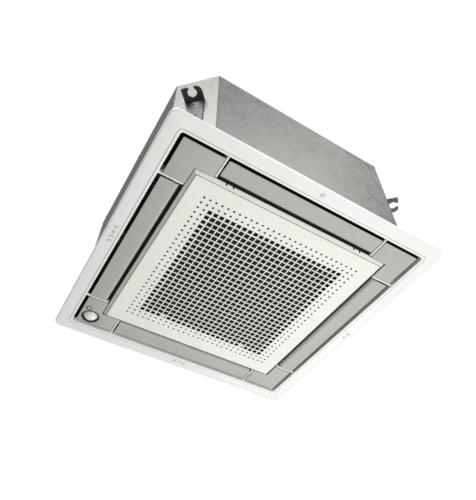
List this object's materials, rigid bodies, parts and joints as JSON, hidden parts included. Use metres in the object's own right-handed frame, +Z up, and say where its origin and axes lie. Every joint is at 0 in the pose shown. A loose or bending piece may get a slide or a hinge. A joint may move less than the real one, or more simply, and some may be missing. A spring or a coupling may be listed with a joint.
{
  "type": "ceiling cassette air conditioner",
  "caption": "Compact four-way ceiling cassette: galvanised casing with fan and coil above a square panel with a hinged perforated grille and swinging outlet flaps.",
  "frame": {"origin": "middle of the panel, in the plane of the ceiling's underside, on which the panel's flange closes", "axes": "+Z up into the ceiling, +X towards the side with the gas and liquid pipes, +Y towards the side with the drain socket, -Y towards the grille's hinge"},
  "size_m": [0.648, 0.645, 0.3015],
  "materials": {
    "galvanised": "spangled zinc, dull",
    "bracket_steel": "zinc plated",
    "foam": "expanded foam",
    "black_foam": "expanded foam",
    "white_plastic": "fine satin",
    "grey_plastic": "satin",
    "grille_plastic": "satin",
    "black_plastic": "satin",
    "fan_plastic": "satin",
    "motor_steel": "painted",
    "fins": "stacked fins",
    "copper": "drawn tube",
    "brass": "machined",
    "rubber": "matte",
    "gasket_foam": "foam strip",
    "board": "lacquered board",
    "lens": "gloss"
  },
  "bodies": {
    "unit": {"casing_side_front": "galvanised", "casing_side_right": "galvanised", "casing_side_back": "galvanised", "casing_side_left": "galvanised", "casing_top": "galvanised", "foam_liner": "foam", "pipe_plate": "grey_plastic", "hanger_bracket_front": "bracket_steel", "hanger_bracket_right": "bracket_steel", "hanger_bracket_back": "bracket_steel", "hanger_bracket_left": "bracket_steel", "fan_motor": "motor_steel", "motor_rubber_mount_1": "rubber", "motor_rubber_mount_2": "rubber", "motor_rubber_mount_3": "rubber", "bell_mouth": "black_plastic", "heat_exchanger": "fins", "coil_partition": "galvanised", "gas_header": "copper", "liquid_distributor": "copper", "gas_pipe": "copper", "liquid_pipe": "copper", "gas_flare_nut": "brass", "liquid_flare_nut": "brass", "drain_pan": "black_foam", "drain_pump": "black_plastic", "drain_hose": "rubber", "drain_socket": "grey_plastic", "control_box": "galvanised", "control_box_lid": "galvanised", "circuit_board": "board", "terminal_block": "white_plastic", "panel_frame": "white_plastic", "panel_gasket": "gasket_foam", "ceiling_seal": "gasket_foam", "flap_motor_front": "white_plastic", "flap_motor_right": "white_plastic", "flap_motor_back": "white_plastic", "flap_motor_left": "white_plastic", "corner_cover_front": "grey_plastic", "corner_cover_right": "grey_plastic", "corner_cover_back": "grey_plastic", "corner_cover_left": "grey_plastic", "sensor_ring": "black_plastic", "sensor_dome": "lens", "receiver_lens": "lens", "hinge_pin_left": "bracket_steel", "hinge_pin_right": "bracket_steel"},
    "fan": {"turbo_fan": "fan_plastic", "fan_nut": "brass"},
    "front_flap": {"flap_front": "grey_plastic"},
    "right_flap": {"flap_right": "grey_plastic"},
    "back_flap": {"flap_back": "grey_plastic"},
    "left_flap": {"flap_left": "grey_plastic"},
    "grille": {"suction_grille": "grille_plastic", "filter_mesh": "black_plastic", "filter_frame": "black_plastic"},
    "left_latch": {"grille_latch_left": "white_plastic"},
    "right_latch": {"grille_latch_right": "white_plastic"},
    "float": {"pump_float": "white_plastic"}
  },
  "joints": [
    {"name": "fan_spin", "type": "hinge", "parent": "unit", "child": "fan", "pos_m": [0, 0, 0.16], "axis": [0, 0, 1], "continuous": true},
    {"name": "flap_front_swing", "type": "hinge", "parent": "unit", "child": "front_flap", "pos_m": [0, -0.2387, 0.001], "axis": [1, 0, 0], "range_deg": [0, 75]},
    {"name": "flap_right_swing", "type": "hinge", "parent": "unit", "child": "right_flap", "pos_m": [0.2387, 0, 0.001], "axis": [0, 1, 0], "range_deg": [0, 75]},
    {"name": "flap_back_swing", "type": "hinge", "parent": "unit", "child": "back_flap", "pos_m": [0, 0.2387, 0.001], "axis": [-1, 0, 0], "range_deg": [0, 75]},
    {"name": "flap_left_swing", "type": "hinge", "parent": "unit", "child": "left_flap", "pos_m": [-0.2387, 0, 0.001], "axis": [0, -1, 0], "range_deg": [0, 75]},
    {"name": "grille_hinge", "type": "hinge", "parent": "unit", "child": "grille", "pos_m": [0, -0.2182, -0.0052], "axis": [-1, 0, 0], "range_deg": [0, 90]},
    {"name": "latch_left_slide", "type": "slide", "parent": "grille", "child": "left_latch", "axis": [0, 1, 0], "range_m": [0, 0.0045]},
    {"name": "latch_right_slide", "type": "slide", "parent": "grille", "child": "right_latch", "axis": [0, 1, 0], "range_m": [0, 0.0045]},
    {"name": "float_lift", "type": "slide", "parent": "unit", "child": "float", "axis": [0, 0, 1], "range_m": [0, 0.008]}
  ]
}
